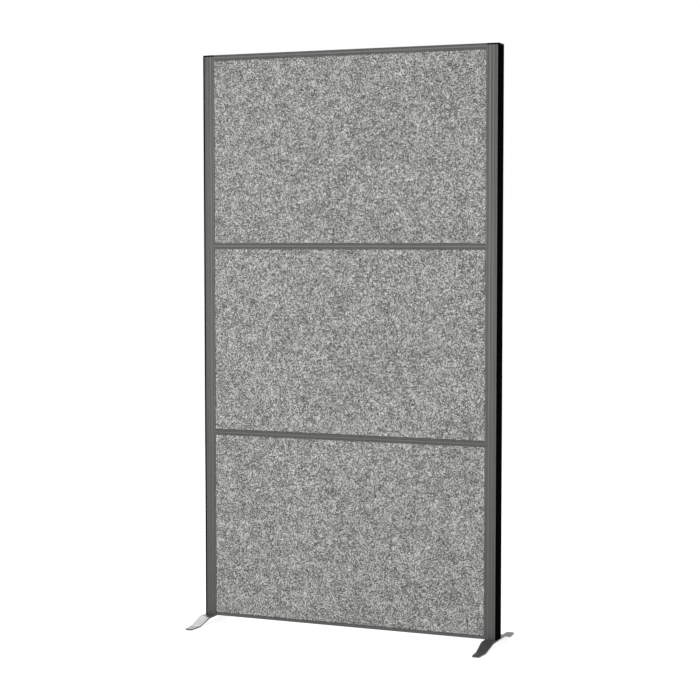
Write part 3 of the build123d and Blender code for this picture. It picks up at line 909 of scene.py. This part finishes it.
    def _unfold(self, mesh: bpy.types.Mesh, quads: int, walls: int) -> None:
        """Gives the sheet a UV map: its face over most of the map, its flat back in a strip below.

        Args:
            mesh: the sheet's mesh.
            quads: the number of faces on the front.
            walls: the number of faces round the rim.
        """
        place = np.array([v.co for v in mesh.vertices])
        behind = np.abs(place[:, 1] - self.back) < NEAR
        rim = 3 * self.waver
        flat, unfolded = [], []
        for axis, wall_width in zip((0, 2), self.rim_on_map):
            off = place[:, axis] - self.centre[axis]
            along = place[:, axis] - self.low[axis] + self.map_margin
            along /= 2 * (self.half[axis] + self.map_margin)
            outward = np.where(behind, np.sign(off), 0)
            at_rim = np.abs(np.abs(off) - self.half[axis]) < rim
            flat.append(along)
            unfolded.append(along + outward * at_rim * wall_width)
        corners = np.empty(len(mesh.loops), int)
        mesh.loops.foreach_get("vertex_index", corners)
        (start, height), (back_start, back_height) = self.face_on_map, self.back_on_map
        u, v = unfolded[0][corners], start + height * unfolded[1][corners]
        last = 4 * (quads + walls)
        u[last:] = flat[0][corners[last:]]
        v[last:] = back_start + back_height * flat[1][corners[last:]]
        mesh.uv_layers.new(name=UV_MAP).data.foreach_set("uv", np.stack([u, v], axis=-1).ravel())

    def fibres(self, growth: FibreGrowth, tree: bpy.types.NodeTree) -> bpy.types.Object:
        """Grows the loose fibres on the sheet's face.

        Args:
            growth: the fibres' sizes.
            tree: the tree that grows them.

        Returns:
            The fibres' object, a plain mesh.
        """
        name = f"felt_fibres_{self.side.word}_{self.level.value}"
        outline = bpy.data.meshes.new(f"{name}_outline")
        corners = [(self.low.x, self.front, self.low.z), (self.high.x, self.front, self.low.z),
                   (self.high.x, self.front, self.high.z), (self.low.x, self.front, self.high.z)]
        outline.from_pydata(corners, [], [(0, 1, 2, 3)])
        piece = added(name, outline)
        modifier = piece.modifiers.new("growth", "NODES")
        modifier.node_group = tree
        given = {"Fibres per square metre": growth.per_square_metre, "Shortest": growth.shortest,
                 "Longest": growth.longest, "Radius": growth.radius, "Loft": growth.loft,
                 "Outward": self.side.outward, "Seed": FIBRE_SEED + self.number,
                 "Centre": (self.centre.x, self.front + self.side.outward * self.fibre_height, self.centre.z),
                 "Half size": tuple(self.half)}
        for item in tree.interface.items_tree:
            if item.in_out == "INPUT" and item.name in given:
                modifier[item.identifier] = given[item.name]
        shown = piece.evaluated_get(bpy.context.evaluated_depsgraph_get())
        mesh = bpy.data.meshes.new_from_object(shown)
        mesh.name = name
        piece.modifiers.clear()
        piece.data = mesh
        bpy.data.meshes.remove(outline)
        return piece

    def build(self, felt: bpy.types.Material, growth: FibreGrowth, tree: bpy.types.NodeTree) -> None:
        """Args:
            felt: the sheet's finish.
            growth: the fibres' sizes.
            tree: the tree that grows the fibres.
        """
        sheet = self.sheet(felt)
        fibres = self.fibres(growth, tree)
        for piece in (sheet, fibres):
            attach(piece, "root")
        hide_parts(self.node)
        LOG.info("%s: %d faces, fibres %d faces", sheet.name, len(sheet.data.polygons),
                 len(fibres.data.polygons))


@dataclass
class FeltPanels:
    """The six felt faces."""

    finish: MelangeFelt = MelangeFelt()
    fibre: LooseFibre = LooseFibre()
    growth: FibreGrowth = FibreGrowth()

    def build(self) -> None:
        """Builds each face at its level, front and back."""
        felt = self.finish.material()
        tree = self.growth.tree(self.fibre.material())
        for number, (level, side) in enumerate((level, side) for level in Level for side in Side):
            FeltFace(level, side, number).build(felt, self.growth, tree)


@dataclass
class Dressing:
    """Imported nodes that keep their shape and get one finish."""

    name: str
    nodes: tuple[str, ...]
    finish: FrameMetal | BlackPlastic | PowderCoat | PlatedSteel | PadRubber | CoreBoard

    def build(self) -> None:
        """Puts the finish on each node."""
        material = self.finish.material()
        for node in self.nodes:
            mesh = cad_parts[node].data
            mesh.materials.clear()
            mesh.materials.append(material)
        LOG.info("%s: %d nodes in %s", self.name, len(self.nodes), material.name)


def both(name: str) -> tuple[str, str]:
    """The names of a pair's left and right node."""
    return f"{name}_left", f"{name}_right"


@dataclass
class Hardware:
    """The frame, its strips and caps, the panel cores, the feet and the fixings."""

    posts: FrameMetal = FrameMetal(Grain.UPRIGHT, (0.092, 0.092, 0.090))
    rails: FrameMetal = FrameMetal(Grain.ACROSS, (0.083, 0.083, 0.081))
    strip: BlackPlastic = BlackPlastic("edge_strip", (0.0011, 0.0011, 0.0011), 0.004, (0.80, 0.92))
    cap: BlackPlastic = BlackPlastic("top_cap", (0.0016, 0.0016, 0.0016), 0.03, (0.28, 0.36))

    def build(self) -> None:
        """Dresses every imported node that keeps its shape."""
        rails = ("top_rail", "upper_mid_rail", "lower_mid_rail", "bottom_rail")
        cores = tuple(f"panel_core_{level.value}" for level in Level)
        fixings = both("foot_inserts") + both("foot_bolts") + both("rail_screws")
        for dressing in (Dressing("posts", both("post"), self.posts), Dressing("rails", rails, self.rails),
                         Dressing("edge strips", both("edge_strip"), self.strip),
                         Dressing("top caps", both("top_cap"), self.cap),
                         Dressing("panel cores", cores, CoreBoard()),
                         Dressing("feet", both("foot"), PowderCoat()),
                         Dressing("foot pads", both("foot_pads"), PadRubber()),
                         Dressing("fixings", fixings, PlatedSteel())):
            dressing.build()


@dataclass(frozen=True)
class Softbox:
    """A soft area lamp that lights the screen and isn't seen by the camera. Its power is in watts."""

    name: str
    place: Place
    aim: Place
    size: Span
    power: float

    def build(self) -> None:
        """Hangs the lamp."""
        data = bpy.data.lights.new(self.name, "AREA")
        data.shape = "RECTANGLE"
        data.size, data.size_y = self.size
        data.energy = self.power
        lamp = added(self.name, data)
        lamp.location = self.place
        lamp.rotation_euler = (Vector(self.aim) - Vector(self.place)).to_track_quat("-Z", "Y").to_euler()
        lamp.visible_camera = False


@dataclass
class Studio:
    """A pale floor, white all round, soft lamps, and the camera.

    Attributes:
        camera_place: where the camera stands.
        camera_turn: how far it looks up and to its left, in degrees.
        lens: its focal length, in millimetres.
        sensor: its sensor's width, in millimetres.
        view_end: how far it sees.
        ambient: the strength of the light from all round.
        floor_half: half the floor's width.
        floor_colour: the colour that throws light back on the screen.
        floor_shadow: the part of that colour that is seen.
        floor_glow: the white that is seen on top of it.
        lamps: the lamps.
    """

    camera_place: Place = (2.1166, -5.0854, 1.2374)
    camera_turn: Span = (-3.5845, 22.5624)
    lens: float = 90.81
    sensor: float = 36
    view_end: float = 100
    ambient: float = 0.44
    floor_half: float = 30
    floor_colour: Colour = (0.88, 0.88, 0.88)
    floor_shadow: float = 0.45
    floor_glow: float = 0.86
    lamps: tuple[Softbox, ...] = (
        Softbox("key", (-1.7, -5.0, 1.6), (0, 0, 0.9), (5.4, 3.0), 146),
        Softbox("fill", (3.8, -2.2, 0.7), (0, 0, 0.3), (2.4, 1.4), 31),
        Softbox("rear", (-2.28, 2.5, 2.45), (-0.48, 0, 0.02), (2.0, 2.0), 88),
    )

    def build(self) -> None:
        """Builds the studio."""
        self._world()
        self._floor()
        for lamp in self.lamps:
            lamp.build()
        self._camera()
        bpy.context.scene.view_settings.view_transform = "Standard"

    @staticmethod
    def _seen(nodes: Nodes) -> Socket:
        """1 for a ray from the camera or from a reflection, and 0 for light on its way to a surface.

        Args:
            nodes: the tree's nodes.

        Returns:
            The value's socket.
        """
        path = nodes.add("ShaderNodeLightPath").outputs
        mirrored = nodes.math("MAXIMUM", path["Is Glossy Ray"], path["Is Transmission Ray"])
        return nodes.math("MAXIMUM", path["Is Camera Ray"], mirrored)

    def _world(self) -> None:
        """Makes the surroundings: white where they are seen, softer where they light."""
        world = bpy.data.worlds.new("studio")
        world.use_nodes = True
        bpy.context.scene.world = world
        world.node_tree.nodes.clear()
        nodes = Nodes(world.node_tree)
        soft = nodes.out("ShaderNodeBackground", 0, {"Color": (1, 1, 1, 1), "Strength": self.ambient})
        white = nodes.out("ShaderNodeBackground", 0, {"Color": (1, 1, 1, 1), "Strength": 1.0})
        mixed = nodes.out("ShaderNodeMixShader", 0, {0: self._seen(nodes), 1: soft, 2: white})
        nodes.add("ShaderNodeOutputWorld", {"Surface": mixed})

    def _floor(self) -> None:
        """Makes the floor: pale, white where it is seen, and darker in the screen's shadow."""
        material = bpy.data.materials.new("floor")
        material.use_nodes = True
        material.node_tree.nodes.clear()
        nodes = Nodes(material.node_tree)
        seen = self._seen(nodes)
        shadow = shade(self.floor_colour, self.floor_shadow)
        lit = nodes.out("ShaderNodeBsdfDiffuse", 0, {"Color": (*self.floor_colour, 1)})
        faint = nodes.out("ShaderNodeBsdfDiffuse", 0, {"Color": (*shadow, 1)})
        surface = nodes.out("ShaderNodeMixShader", 0, {0: seen, 1: lit, 2: faint})
        glow = nodes.out("ShaderNodeEmission", 0, {"Color": (1, 1, 1, 1),
                                                   "Strength": nodes.math("MULTIPLY", seen, self.floor_glow)})
        glowing = nodes.out("ShaderNodeAddShader", 0, {0: surface, 1: glow})
        nodes.add("ShaderNodeOutputMaterial", {"Surface": glowing})
        mesh = bpy.data.meshes.new("floor")
        h = self.floor_half
        mesh.from_pydata([(-h, -h, 0), (h, -h, 0), (h, h, 0), (-h, h, 0)], [], [(0, 1, 2, 3)])
        mesh.materials.append(material)
        added("floor", mesh)

    def _camera(self) -> None:
        """Places the camera."""
        data = bpy.data.cameras.new("camera")
        data.lens = self.lens
        data.sensor_width = self.sensor
        data.clip_end = self.view_end
        camera = added("camera", data)
        pitch, yaw = self.camera_turn
        camera.location = self.camera_place
        camera.rotation_euler = (math.radians(90 + pitch), 0, math.radians(yaw))
        bpy.context.scene.camera = camera


def main() -> None:
    """Builds the studio and the screen."""
    logging.basicConfig(level=logging.INFO, format="%(name)s %(message)s")
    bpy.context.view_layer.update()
    Studio().build()
    Hardware().build()
    FeltPanels().build()


if __name__ == "__main__":
    main()
